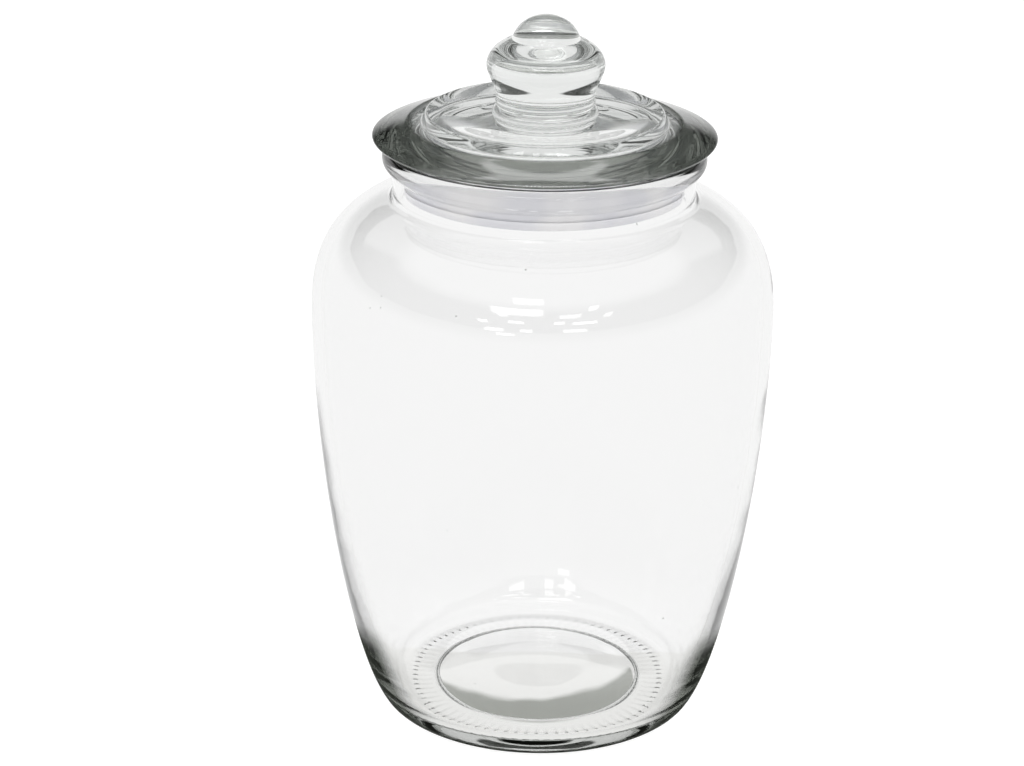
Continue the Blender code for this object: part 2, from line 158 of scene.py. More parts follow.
# Looks of the soda lime glass. A pattern's scale is one over its real size in metres. A ramp names a
# value and rises smoothly from 0 at its first number to 1 at its second. A sum names its result, a
# value, an operation and another value. A seed's core and edge are radii, as shares of the spacing
GLASS_IOR = 1.52
SWELL_LENGTH = 0.030
SWELL_DEPTH = 0.0002
SWELL_STRENGTH = 0.5
SEED_SPACING = 0.022
SEED_CORE_SHARE = 0.012
SEED_EDGE_SHARE = 0.020
SEED_TINT = "#8A8E88"
JAR_DEPTH_TINT = "#CBCDCA"
JAR_DEPTH_DENSITY = 11.0
# Painted shade on the jar's heel: the skin darkens outside the standing ring where it is seen edge on. The
# reach there is the radius less this slope times the height
HEEL_SHADE_SLOPE = 0.45
HEEL_SHADE_RAMPS = {"out": ("reach", 0.0465, 0.0485), "turned": ("facing", 0.50, 0.70)}
LID_DEPTH_TINT = "#CBCECC"
LID_DEPTH_DENSITY = 9.0
# Painted shade on the lid's rim: the skin darkens from this width inside the rim's edge outwards, except
# where it faces the eye
RIM_SHADE_WIDTH = 0.0150
RIM_SHADE_FACING = (-0.01, 0.27)
# Where the painted edge shade lies: past the reach ramp, turned from the eye, and only where light comes in
EDGE_SHADE_SUMS = (
    ("edge", "out", "MULTIPLY", "turned"),
    ("edge", "edge", "SUBTRACT", "inner"),
)

# Looks of the moulded polyethylene, and of the paper, whose fibre clouds are drawn coarse enough to show
CLOUD_LENGTH = 0.018
CLOUD_SPAN = (0.42, 0.60)
CLOUD_TINT = "#E6E5E6"
POLYETHYLENE_ROUGHNESS = 0.45
POLYETHYLENE_IOR = 1.51
FIBRE_LENGTH = 0.004
FIBRE_SPAN = (0.3, 0.7)
FIBRE_TINT = "#FAFAFA"
PAPER_LIFT = 0.25
PLAIN_WHITE = "#FFFFFF"

# Camera, measured from the jar's axis and from the floor
CAMERA_DISTANCE = 1.0395
CAMERA_HEIGHT = 0.5084
CAMERA_PITCH = math.radians(-20.93)
CAMERA_YAW = math.radians(0.53)
CAMERA_ROLL = math.radians(0.65)
CAMERA_LENS = 119.2

# Stage
FLOOR_HALF_WIDTH = 2.0
FLOOR_DROP = 0.0002
LIGHT_BOUNCES = 24

# How a ray reached the room or the paper: through is 1 where it last passed through glass, mirrored is
# 1 where it didn't, and shown is 1 where it met glass and nothing matt
RAY_LABELS = {
    "camera": "Is Camera Ray",
    "glossy": "Is Glossy Ray",
    "through": "Is Transmission Ray",
    "matt_turns": "Diffuse Depth",
}
RAY_SUMS = (
    ("mirrored", "one", "SUBTRACT", "through"),
    ("clean", "matt_turns", "LESS_THAN", "half"),
    ("shown", "glossy", "MAXIMUM", "through"),
    ("shown", "shown", "MULTIPLY", "clean"),
    ("hidden", "one", "SUBTRACT", "shown"),
)

# The room that the glass shows. Directions are parts of a unit length: X to the right, Y away from the
# camera, Z up, and across is X without its sign
ROOM_RAMPS = {
    "behind": ("Y", 0.0, 0.2),
    "before": ("Y", 0.0, -0.1),
    "right": ("X", -0.5, 0.7),
    "under_ring": ("Z", 0.285, 0.265),
    "over_ring": ("Z", 0.62, 0.72),
    "gap_sides": ("across", 0.66, 0.54),
    "gap_foot": ("Z", 0.41, 0.43),
    "under_mirrored_ring": ("Z", 0.28, 0.08),
    "over_mirrored_ring": ("Z", 0.66, 0.80),
    "lamp_sides": ("across", 0.23, 0.17),
    "lamp_foot": ("Z", 0.79, 0.81),
    "lamp_top": ("Z", 0.85, 0.83),
}
ROOM_SUMS = (
    ("gap", "gap_sides", "MULTIPLY", "gap_foot"),
    ("gap", "gap", "MULTIPLY", "behind"),
    ("white_through", "under_ring", "MAXIMUM", "over_ring"),
    ("white_through", "white_through", "MAXIMUM", "gap"),
    ("white_through", "white_through", "MULTIPLY", "through"),
    ("white_mirrored", "under_mirrored_ring", "MAXIMUM", "over_mirrored_ring"),
    ("white_mirrored", "white_mirrored", "MULTIPLY", "mirrored"),
    ("white", "white_through", "MAXIMUM", "white_mirrored"),
    ("window", "panes", "MULTIPLY", "before"),
    ("lamp", "lamp_sides", "MULTIPLY", "lamp_foot"),
    ("lamp", "lamp", "MULTIPLY", "lamp_top"),
    ("lamp", "lamp", "MULTIPLY", "behind"),
    ("lamp", "lamp", "MULTIPLY", "mirrored"),
)
ROOM_WHITE = "#FBFBFB"
LEFT_SIDE = "#2E302D"
RIGHT_SIDE = "#50524F"
LIGHT_STRENGTH = 4.0

# Bright panes of the window: middle X and Z, half width and half height
WINDOW_PANES = (
    (-0.10, 0.805, 0.105, 0.035),
    (-0.19, 0.640, 0.190, 0.045),
    (-0.31, 0.575, 0.035, 0.018),
    (-0.21, 0.455, 0.060, 0.022),
    (-0.47, 0.425, 0.035, 0.022),
    (-0.39, 0.300, 0.070, 0.020),
    (-0.13, 0.310, 0.050, 0.018),
    (-0.30, 0.240, 0.070, 0.016),
    (0.22, 0.575, 0.080, 0.022),
    (0.14, 0.455, 0.040, 0.024),
    (0.34, 0.440, 0.090, 0.022),
    (0.27, 0.310, 0.090, 0.020),
    (0.38, 0.680, 0.030, 0.025),
    (0.50, 0.550, 0.025, 0.022),
)
PANE_RAMPS = {"inside": ("widest", 1.15, 0.85)}
PANE_SUMS = (("total", "total", "MAXIMUM", "inside"),)

# The paper that the glass shows, with places in metres. The painted shadow crescent lies under a bow
# whose Y is height + slope X + curve X squared, moved by a slow wave
WAVE_LENGTH = 0.015
SHADOW_CRESCENT = {"curve": 13.75, "slope": 0.182, "height": -0.01073, "wave_height": 0.008}
SHADOW_CRESCENT_SUMS = (
    ("bow", "X", "MULTIPLY", "curve"),
    ("bow", "bow", "ADD", "slope"),
    ("bow", "bow", "MULTIPLY", "X"),
    ("bow", "bow", "ADD", "height"),
    ("wave", "wave", "SUBTRACT", "half"),
    ("wave", "wave", "MULTIPLY", "wave_height"),
    ("over_bow", "Y", "SUBTRACT", "bow"),
    ("over_bow", "over_bow", "ADD", "wave"),
)
PAPER_RAMPS = {
    "under_bow": ("over_bow", 0.0020, -0.0030),
    "push_up": ("reach", 0.0335, 0.0325),
    "far": ("Y", 0.0175, 0.0185),
    "away": ("reach", 0.060, 0.110),
    # Where the painted contact shadow round the jar's foot lies
    "close": ("reach", 0.092, 0.074),
}
PAPER_SUMS = (
    # The painted shadow crescent under the push-up, in rays through glass
    ("crescent_shadow", "under_bow", "MULTIPLY", "push_up"),
    ("crescent_shadow", "crescent_shadow", "MULTIPLY", "through"),
    # The painted contact shadow, in rays off glass
    ("contact_shadow", "close", "MULTIPLY", "mirrored"),
)
NEAR_SHEET = "#F6F6F4"
FAR_SHEET = "#FFFFFF"
# Painted shadow: the grey crescent under the push-up
CRESCENT_SHADOW_TONE = "#91948D"
# Painted contact shadow: the dark tone round the jar's foot
CONTACT_SHADOW_TONE = "#41443E"

# Fineness
TURN_STEPS = 400
FINE_WALL_STEPS = 60
MERGE_DISTANCE = 0.00001
SHARP_ANGLE = math.radians(35.0)


def linear(code):
    """The linear colour, with alpha, of an sRGB hex value."""
    shares = np.array([int(code[i:i + 2], 16) for i in (1, 3, 5)]) / 255
    low = shares / 12.92
    high = ((shares + 0.055) / 1.055) ** 2.4
    return (*np.where(shares <= 0.04045, low, high).tolist(), 1.0)


def length(name, text, default):
    """A length in metres that a user can change."""
    return FloatProperty(name=name, description=text, default=default, unit="LENGTH", precision=5)


def colour(name, text, code):
    """A colour that a user can change, with its default as an sRGB hex value."""
    return FloatVectorProperty(name=name, description=text, default=linear(code), size=4, subtype="COLOR")


class JarSizes(bpy.types.PropertyGroup):
    lip_height: length("Lip height", "Height of the lip above the floor", JAR_HIGH.z)
    belly_radius: length("Belly radius", "Widest radius of the jar", JAR_HIGH.x)
    belly_height: length("Belly height", "Height of the widest place", 0.1396)
    foot_radius: length("Foot radius", "Outer radius of the standing ring", 0.0466)
    shoulder_rise: length("Shoulder rise", "From the belly up to the neck's foot", 0.0355)
    neck_radius: length("Neck radius", "Outer radius of the neck", 0.0487)
    lip_overhang: length("Lip overhang", "How far the lip's bead stands out", 0.0034)
    wall: length("Wall", "Thickness of the wall at the belly", 0.0034)
    heel_wall_extra: length("Heel wall extra", "Glass added to the wall at the heel", 0.0022)
    base: length("Base", "Thickness of the base over the standing ring", 0.0066)
    ring_width: length("Standing ring width", "Width of the flat ring the jar stands on", 0.0112)
    dash_count: IntProperty(
        name="Dashes", description="Knurl dashes round the standing ring", default=80, min=8
    )


class LidSizes(bpy.types.PropertyGroup):
    seat_height: length("Seat height", "Height of the rim's underside", SEAL_HIGH.z + REST_GAP)
    rim_radius: length("Rim radius", "Widest radius of the rim", LID_HIGH.x)
    plug_depth: length("Plug depth", "How far the plug reaches down", SEAL_HIGH.z + REST_GAP - LID_LOW.z)
    stem_radius: length("Stem radius", "Radius of the knob's stem", 0.0157)
    ball_overhang: length("Ball overhang", "How far the ball stands out past the stem", 0.0032)


class SealSizes(bpy.types.PropertyGroup):
    seat_height: length("Seat height", "Height of the flange's underside", SEAL_SEAT_HEIGHT)
    flange_radius: length("Flange radius", "Outer radius of the flange", SEAL_HIGH.x)
    seal_length: length("Length", "From the flange's underside to the foot", SEAL_SLEEVE_LENGTH)


class JarLooks(bpy.types.PropertyGroup):
    jar_glass: colour("Jar glass", "Tint at each surface of the blown glass", "#FEFEFE")
    # Painted shade, laid on the heel's skin where it is seen edge on
    jar_heel_shade: colour("Jar heel", "Tint at the jar's thick heel where it is seen edge on", "#4A4E48")
    lid_glass: colour("Lid glass", "Tint at each surface of the pressed glass", "#FDFEFD")
    # Painted shade, laid on the thick rim's skin, as light trapped there would darken it
    lid_rim_shade: colour("Lid rim", "Tint at the thick rim, which light leaves only after many turns", "#444842")
    seal: colour("Seal", "Milky polyethylene", "#D8D8DD")
    floor: colour("Floor", "The studio's floor", "#F4F4F4")


def bend(start, start_pull, end_pull, end, steps):
    """Cubic curve (1-t)^3 A + 3(1-t)^2 t (A+a) + 3(1-t) t^2 (B+b) + t^3 B at even steps of t."""
    start = np.array(start, dtype=float)
    end = np.array(end, dtype=float)
    t = np.linspace(0.0, 1.0, steps + 1)[:, None]
    s = 1.0 - t
    near = start + np.array(start_pull)
    far = end + np.array(end_pull)
    return s**3 * start + 3 * s**2 * t * near + 3 * s * t**2 * far + t**3 * end


def ellipse(centre_height, radius, rise, first_angle, last_angle, steps):
    """Points (radius cos u, centre + rise sin u) of an ellipse about a point on the axis."""
    angle = np.linspace(first_angle, last_angle, steps + 1)
    return np.column_stack([radius * np.cos(angle), centre_height + rise * np.sin(angle)])


def chain(*stretches):
    """The stretches as one row of points, without the points that two of them share."""
    points = np.vstack([np.asarray(stretch, dtype=float) for stretch in stretches])
    step = np.linalg.norm(np.diff(points, axis=0), axis=1)
    return points[np.concatenate([[True], step > MERGE_DISTANCE])]


def neck_direction():
    """The unit direction in which the shoulder meets the neck: inwards, and up by the end angle."""
    return np.array([-math.cos(SHOULDER_END_ANGLE), math.sin(SHOULDER_END_ANGLE)])


def heel(sizes, steps):
    """The heel's arc, centre + heel radius (cos u, sin u) from straight down on, and its last direction."""
    angle = np.linspace(-math.pi / 2, HEEL_END_ANGLE, steps + 1)
    arc = np.column_stack([np.cos(angle), np.sin(angle)])
    direction = np.array([-math.sin(HEEL_END_ANGLE), math.cos(HEEL_END_ANGLE)])
    return np.array([sizes.foot_radius, HEEL_RADIUS]) + HEEL_RADIUS * arc, direction


def side(sizes, steps):
    """The outer side: one cubic curve that leaves along the heel's end and comes upright to the belly."""
    arc, direction = heel(sizes, 1)
    rise = sizes.belly_height - arc[-1, 1]
    end_pull = (0.0, -SIDE_END_SHARE * rise)
    belly = (sizes.belly_radius, sizes.belly_height)
    return bend(arc[-1], direction * SIDE_START_SHARE * rise, end_pull, belly, steps)


def shoulder(sizes, steps):
    """The outer shoulder: one cubic curve that leaves the belly upright and meets the neck's foot."""
    end = np.array([sizes.neck_radius + NECK_FILLET, sizes.belly_height + sizes.shoulder_rise])
    reach = SHOULDER_REACH_SHARE * (sizes.belly_radius - end[0])
    start_pull = (0.0, SHOULDER_RISE_SHARE * sizes.shoulder_rise)
    belly = (sizes.belly_radius, sizes.belly_height)
    return bend(belly, start_pull, -neck_direction() * reach, end, steps)


def inner_wall(sizes, side_steps, shoulder_steps):
    """The outer wall moved inwards, square to itself, and the first point's direction.

    The thickness is the wall's, and the heel's extra times (1 - share of the belly's height) cubed.
    """
    fine = FINE_WALL_STEPS
    outer = chain(side(sizes, fine), shoulder(sizes, fine))
    along = np.gradient(outer, axis=0)
    along /= np.linalg.norm(along, axis=1)[:, None]
    share = np.clip((outer[:, 1] - outer[0, 1]) / (sizes.belly_height - outer[0, 1]), 0.0, 1.0)
    thickness = sizes.wall + sizes.heel_wall_extra * (1.0 - share) ** HEEL_WALL_FADE_POWER
    wall = outer + thickness[:, None] * np.column_stack([-along[:, 1], along[:, 0]])
    first = round(INNER_WALL_START_SHARE * fine)
    picks = np.linspace(first, fine, side_steps + 1)
    picks = np.concatenate([picks, np.linspace(fine, 2 * fine, shoulder_steps + 1)[1:]])
    picks = picks.round().astype(int)
    return wall[picks], along[first]


def jar_inside(sizes):
    """The jar's inside: a domed floor and an inner heel, the inner wall, and a turn up into the bore."""
    wall, climb = inner_wall(sizes, side_steps=30, shoulder_steps=18)
    floor_low = np.array([sizes.foot_radius - FLOOR_LOW_INSET, sizes.base])
    dome_pull = (FLOOR_DOME_SHARE * floor_low[0], 0.0)
    edge_pull = (-FLOOR_EDGE_SHARE * floor_low[0], 0.0)
    centre = (0.0, PUSH_UP_STEP_RISE + PUSH_UP_DOME_RISE + BASE_CENTRE_THICKNESS)
    floor = bend(centre, dome_pull, edge_pull, floor_low, steps=14)

    pull = INNER_HEEL_SHARE * np.linalg.norm(wall[0] - floor_low)
    inner_heel = bend(floor_low, (pull, 0.0), -climb * pull, wall[0], steps=9)

    bore = sizes.neck_radius - NECK_WALL_THICKNESS
    half = (wall[-1, 0] - bore) / 2
    bore_foot = (bore, sizes.belly_height + sizes.shoulder_rise + NECK_BORE_FOOT_RISE)
    turn = bend(wall[-1], neck_direction() * half, (0.0, -half), bore_foot, steps=7)
    return chain(floor, inner_heel, wall, turn)


def jar_lip(sizes):
    """Over the lip's inner edge and down its bead, crease and neck to the shoulder, in cubic curves."""
    bore = sizes.neck_radius - NECK_WALL_THICKNESS
    lip_radius = sizes.neck_radius + sizes.lip_overhang
    top = sizes.lip_height
    half = LIP_INNER_ROUNDING / 2
    below_edge = (bore, top - LIP_INNER_ROUNDING)
    past_edge = (bore + LIP_INNER_ROUNDING, top)
    inner_edge = bend(below_edge, (0.0, half), (-half, 0.0), past_edge, steps=4)

    widest = (lip_radius, top - LIP_BEAD_DROP)
    flat_end = (lip_radius - LIP_TOP_ROUNDING, top)
    out_pull = (LIP_TOP_ROUNDING / 2, 0.0)
    upper_bead = bend(flat_end, out_pull, (0.0, LIP_BEAD_DROP / 2), widest, steps=8)

    foot = (sizes.neck_radius + LIP_FOOT_OVERHANG, top - LIP_FOOT_DROP)
    drop = (LIP_FOOT_DROP - LIP_BEAD_DROP) / 2
    foot_pull = ((lip_radius - foot[0]) / 2, drop / 2)
    lower_bead = bend(widest, (0.0, -drop), foot_pull, foot, steps=7)

    neck_top = (sizes.neck_radius, top - LIP_FOOT_DROP - LIP_CREASE_DEPTH)
    neck_foot = (sizes.neck_radius, sizes.belly_height + sizes.shoulder_rise + NECK_FILLET)
    half = NECK_FILLET / 2
    neck = bend(neck_top, (0.0, 0.0), (0.0, 0.0), neck_foot, steps=3)
    fillet = bend(neck_foot, (0.0, -half), neck_direction() * half, shoulder(sizes, 1)[-1], steps=5)
    return chain(inner_edge, upper_bead, lower_bead, neck, fillet)


def jar_underside(sizes):
    """The flat ring that the jar stands on, and the push-up's step and dome inside it, in to the axis."""
    ring_inner = (sizes.foot_radius - sizes.ring_width, 0.0)
    edge = (ring_inner[0] - PUSH_UP_STEP_WIDTH, PUSH_UP_STEP_RISE)
    step = bend(ring_inner, (-PUSH_UP_STEP_WIDTH / 2, 0.0), (0.0, -PUSH_UP_STEP_RISE / 2), edge, steps=8)
    reach = PUSH_UP_DOME_SHARE * edge[0]
    centre = (0.0, PUSH_UP_STEP_RISE + PUSH_UP_DOME_RISE)
    dome = bend(edge, (-reach, PUSH_UP_DOME_RISE), (reach, 0.0), centre, steps=12)
    dash_rows = np.linspace(DASH_OUTER_RADIUS, DASH_INNER_RADIUS, DASH_ROWS)
    ring = [(sizes.foot_radius, 0.0), *((radius, 0.0) for radius in dash_rows)]
    return chain(ring, step, dome)


def press_dashes(points, sizes):
    """Lifts every few columns of the standing ring into the glass, as short grooves towards the axis.

    They are the dash depth times (1 - wear share times Y / foot radius) deep, so fainter at the back.
    """
    radius = np.hypot(points[..., 0], points[..., 1])
    inner, outer = DASH_INNER_RADIUS + MERGE_DISTANCE, DASH_OUTER_RADIUS - MERGE_DISTANCE
    on_ring = (points[..., 2] < MERGE_DISTANCE) & (radius > inner) & (radius < outer)
    on_ring[:, np.arange(points.shape[1]) % (TURN_STEPS // sizes.dash_count) > 0] = False
    depth = DASH_DEPTH * (1.0 - DASH_WEAR_SHARE * points[..., 1] / sizes.foot_radius)
    points[on_ring, 2] += depth[on_ring]


def jar_outline(sizes):
    """From the middle of the jar's floor over its lip and round to the middle of its underside."""
    rising = (heel(sizes, steps=14)[0], side(sizes, steps=34), shoulder(sizes, steps=22))
    outside = chain(*rising)[::-1]
    return chain(jar_inside(sizes), jar_lip(sizes), outside, jar_underside(sizes))


def seal_outline(sizes, neck_radius):
    """Round the seal from its bore's top, over the flange, down the sleeve and lips, to the bore's foot."""
    tip = neck_radius - NECK_WALL_THICKNESS - BORE_GAP
    sleeve = tip - SEAL_LIP_REACH
    bore = sleeve - SEAL_SLEEVE_THICKNESS
    edge = sizes.flange_radius
    half = SEAL_LIP_THICKNESS / 2
    r = SEAL_ROUNDING
    top = SEAL_FLANGE_THICKNESS
    top_edge = bend((edge - r, top), (r / 2, 0.0), (0.0, r / 2), (edge, top - r), steps=4)
    low_edge = bend((edge, r), (0.0, -r / 2), (r / 2, 0.0), (edge - r, 0.0), steps=4)
    lips = []
    for share in SEAL_LIP_DROP_SHARES:
        height = -share * sizes.seal_length
        lips += [
            (sleeve, height + half),
            (tip, height + half + SEAL_LIP_RISE),
            (tip, height + SEAL_LIP_RISE),
            (sleeve, height - half),
        ]
    low = -sizes.seal_length
    foot = bend((sleeve, low + r), (0.0, -r / 2), (r / 2, 0.0), (sleeve - r, low), steps=4)
    return chain([(bore, top)], top_edge, low_edge, [(sleeve, 0.0)], lips, foot, [(bore, low)])


def stem_outline(sizes):
    """The stem from the ball down: its collar, its bead and its foot on the disc, in cubic curves."""
    dish_height = RIM_EDGE_HEIGHT + CROWN_RISE + DISC_STEP_RISE - DISC_DISH_DEPTH
    groove = np.array([sizes.stem_radius, dish_height + KNOB_FOOT_RISE])
    bead = groove + np.array([BEAD_OVERHANG, BEAD_LOWER_RISE])
    waist = np.array([sizes.stem_radius - STEM_WAIST_INSET, bead[1] + BEAD_UPPER_RISE])
    collar = np.array([sizes.stem_radius + COLLAR_OVERHANG, waist[1] + COLLAR_RISE])
    top = np.array([sizes.stem_radius, collar[1] + STEM_TOP_RISE])
    foot = np.array([sizes.stem_radius, dish_height + KNOB_FOOT_FILLET])
    out_pull = (BEAD_OVERHANG / 2, 0.0)
    above = bend(top, (0.0, -STEM_TOP_RISE / 2), (0.0, STEM_TOP_RISE / 4), collar, steps=5)
    below = bend(collar, (0.0, -COLLAR_RISE / 2), (0.0, COLLAR_RISE / 2), waist, steps=5)
    bead_top = bend(waist, out_pull, (0.0, BEAD_UPPER_RISE / 2), bead, steps=7)
    bead_foot = bend(bead, (0.0, -BEAD_LOWER_RISE / 2), out_pull, groove, steps=7)
    half = KNOB_FOOT_FILLET / 2
    disc = (sizes.stem_radius + KNOB_FOOT_FILLET, dish_height)
    fillet = bend(foot, (0.0, -half), (-half, 0.0), disc, steps=3)
    return chain(above, below, bead_top, bead_foot, fillet)


def knob_outline(sizes):
    """The knob: an ellipse for its cap, one for the upper ball, a cubic curve below it, and the stem."""
    stem = stem_outline(sizes)
    ball_radius = sizes.stem_radius + sizes.ball_overhang
    ball_height = stem[0, 1] + BALL_LOWER_RISE
    seam_angle = math.acos(CAP_RADIUS * math.cos(CAP_FOOT_ANGLE) / ball_radius)
    seam_height = ball_height + BALL_UPPER_RISE * math.sin(seam_angle)
    cap_height = seam_height - CAP_RISE * math.sin(CAP_FOOT_ANGLE)
    cap = ellipse(cap_height, CAP_RADIUS, CAP_RISE, math.pi / 2, CAP_FOOT_ANGLE, steps=14)
    cap[0, 0] = 0.0
    upper_ball = ellipse(ball_height, ball_radius, BALL_UPPER_RISE, seam_angle, 0.0, steps=12)
    ball_pull = (0.0, -BALL_TAPER_SHARE * BALL_LOWER_RISE)
    stem_pull = (STEM_FLARE_SHARE * sizes.ball_overhang, STEM_TAPER_SHARE * BALL_LOWER_RISE)
    lower_ball = bend(upper_ball[-1], ball_pull, stem_pull, stem[0], steps=14)
    return chain(cap, upper_ball, lower_ball, stem)


def disc_and_rim_outline(sizes):
    """The dished disc, its crest and step, the groove, and the rim's crown and edge, in cubic curves."""
    ridge_height = RIM_EDGE_HEIGHT + CROWN_RISE
    groove_radius = sizes.rim_radius - CROWN_WIDTH - GROOVE_WIDTH
    groove_height = ridge_height - GROOVE_DEPTH
    disc_radius = groove_radius - DISC_STEP_WIDTH
    disc_height = ridge_height + DISC_STEP_RISE
    start = (sizes.stem_radius + KNOB_FOOT_FILLET, disc_height - DISC_DISH_DEPTH)
    crest_inner = (disc_radius - DISC_CREST_WIDTH, disc_height)
    reach = crest_inner[0] - start[0]
    edge_pull = (-DISH_EDGE_SHARE * reach, -DISH_EDGE_SHARE * DISC_DISH_DEPTH)
    dish = bend(start, (DISH_FOOT_SHARE * reach, 0.0), edge_pull, crest_inner, steps=14)

    half = DISC_ROUNDING / 2
    crest_outer = (disc_radius - DISC_ROUNDING, disc_height)
    crest = bend(crest_outer, (half, 0.0), (0.0, half), (disc_radius, disc_height - DISC_ROUNDING), steps=6)
    half = GROOVE_ROUNDING / 2
    wall_foot = (groove_radius - GROOVE_ROUNDING, groove_height + GROOVE_ROUNDING)
    groove = bend(wall_foot, (0.0, -half), (-half, 0.0), (groove_radius, groove_height), steps=5)

    top = np.array([sizes.rim_radius - CROWN_WIDTH, ridge_height])
    slope = np.array([math.cos(CROWN_ANGLE), math.sin(CROWN_ANGLE)])
    half = CROWN_ROUNDING / 2
    inner = top - np.array([CROWN_ROUNDING, 0.0])
    outer = top + slope * CROWN_ROUNDING
    ridge = bend(inner, (half, 0.0), -slope * half, outer, steps=4)
    widest = (sizes.rim_radius, RIM_EDGE_HEIGHT)
    crown_pull = slope * CROWN_LENGTH_SHARE * CROWN_WIDTH
    crown = bend(outer, crown_pull, (0.0, CROWN_EDGE_SHARE * CROWN_RISE), widest, steps=20)
    foot = (sizes.rim_radius - RIM_FOOT_INSET, 0.0)
    edge = bend(widest, (0.0, -RIM_EDGE_HEIGHT / 2), (RIM_FOOT_INSET / 2, 0.0), foot, steps=8)
    return chain(dish, crest, groove, ridge, crown, edge)


def plug_outline(sizes, neck_radius):
    """Down the plug's outside, round its foot, up its hollow and in to the axis, in cubic curves."""
    sleeve = neck_radius - NECK_WALL_THICKNESS - BORE_GAP - SEAL_LIP_REACH
    radius = sleeve - SEAL_SLEEVE_THICKNESS - PLUG_GAP
    outer = radius - PLUG_DRAFT
    inner = outer - PLUG_WALL
    r = PLUG_ROUNDING
    foot = -sizes.plug_depth
    outer_edge = bend((outer, foot + r), (0.0, -r / 2), (r / 2, 0.0), (outer - r, foot), steps=6)
    inner_edge = bend((inner + r, foot), (-r / 2, 0.0), (0.0, -r / 2), (inner, foot + r), steps=6)

    wall_top = (inner - PLUG_DRAFT, HOLLOW_CORNER_HEIGHT - HOLLOW_CORNER_RADIUS)
    corner_end = (wall_top[0] - HOLLOW_CORNER_RADIUS, HOLLOW_CORNER_HEIGHT)
    half = HOLLOW_CORNER_RADIUS / 2
    corner = bend(wall_top, (0.0, half), (half, 0.0), corner_end, steps=8)
    centre = (0.0, HOLLOW_CORNER_HEIGHT + HOLLOW_DOME_RISE)
    half = corner_end[0] / 2
    ceiling = bend(corner_end, (-half, HOLLOW_DOME_RISE / 2), (half, 0.0), centre, steps=10)
    return chain([(radius, 0.0)], outer_edge, inner_edge, corner, ceiling)


def lid_outline(sizes, neck_radius):
    """From the top of the knob's cap over the rim and the plug to the middle of the hollow."""
    return chain(knob_outline(sizes), disc_and_rim_outline(sizes), plug_outline(sizes, neck_radius))


def turned_points(outline, steps):
    """Points (r cos a, r sin a, z), one row for each outline point and one column for each angle a."""
    angle = np.arange(steps) * math.tau / steps
    radius = outline[:, :1]
    height = np.broadcast_to(outline[:, 1:], (len(outline), steps))
    return np.stack([radius * np.cos(angle), radius * np.sin(angle), height], axis=2)


def turned_faces(rows, steps, closed):
    """Four-sided faces between each row and the next, round all the angles, facing off the glass."""
    first = np.arange(rows if closed else rows - 1)[:, None]
    here = np.arange(steps)[None, :]
    following = (here + 1) % steps
    below = (first + 1) % rows
    row = first * steps
    row_below = below * steps
    corners = (row + here, row_below + here, row_below + following, row + following)
    return np.stack(corners, axis=2).reshape(-1, 4)


def make_piece(name, points, faces, material):
    """A smooth object of a grid of points, with each row that lies on the axis drawn into one point."""
    mesh = bpy.data.meshes.new(name)
    flat = points.reshape(-1, 3)
    steps = points.shape[1]
    index = np.arange(len(flat)).reshape(points.shape[:2])
    on_axis = np.hypot(points[:, 0, 0], points[:, 0, 1]) < MERGE_DISTANCE
    index[on_axis] = index[on_axis][:, :1]
    used, renamed = np.unique(index.ravel()[faces], return_inverse=True)
    corners = renamed.reshape(faces.shape).tolist()
    cleaned = [list(dict.fromkeys(face)) for face in corners]
    mesh.from_pydata(flat[used].tolist(), [], cleaned)
    mesh.shade_smooth()
    mesh.set_sharp_from_angle(angle=SHARP_ANGLE)
    mesh.materials.append(material)
    piece = bpy.data.objects.new(name, mesh)
    bpy.context.scene.collection.objects.link(piece)
    return piece


def add(tree, kind, inputs=None, stops=(), **settings):
    """Adds a node, sets its settings and ramp stops, and fills each input by a value or a link."""
    node = tree.nodes.new(kind)
    for name, value in settings.items():
        setattr(node, name, value)
    for place, (position, stop_colour) in enumerate(stops):
        element = node.color_ramp.elements[place] if place < 2 else node.color_ramp.elements.new(position)
        element.position = position
        element.color = stop_colour
    for socket, value in (inputs or {}).items():
        if isinstance(value, bpy.types.NodeSocket):
            tree.links.new(value, node.inputs[socket])
        else:
            node.inputs[socket].default_value = value
    return node


def new_tree(name):
    """A new material and its tree of nodes, emptied."""
    material = bpy.data.materials.new(name)
    material.use_nodes = True
    material.node_tree.nodes.clear()
    return material, material.node_tree


def work_out(tree, values, ramps, sums):
    """The values, joined by a smooth step from 0 to 1 along each ramp, and then by each sum's result."""
    values = dict(values)
    for name, (source, low, high) in ramps.items():
        inputs = {"Value": values[source], "From Min": low, "From Max": high}
        step = add(tree, "ShaderNodeMapRange", inputs, interpolation_type="SMOOTHSTEP")
        values[name] = step.outputs["Result"]
    for name, first, operation, second in sums:
        inputs = {0: values[first], 1: values[second]}
        values[name] = add(tree, "ShaderNodeMath", inputs, operation=operation).outputs["Value"]
    return values


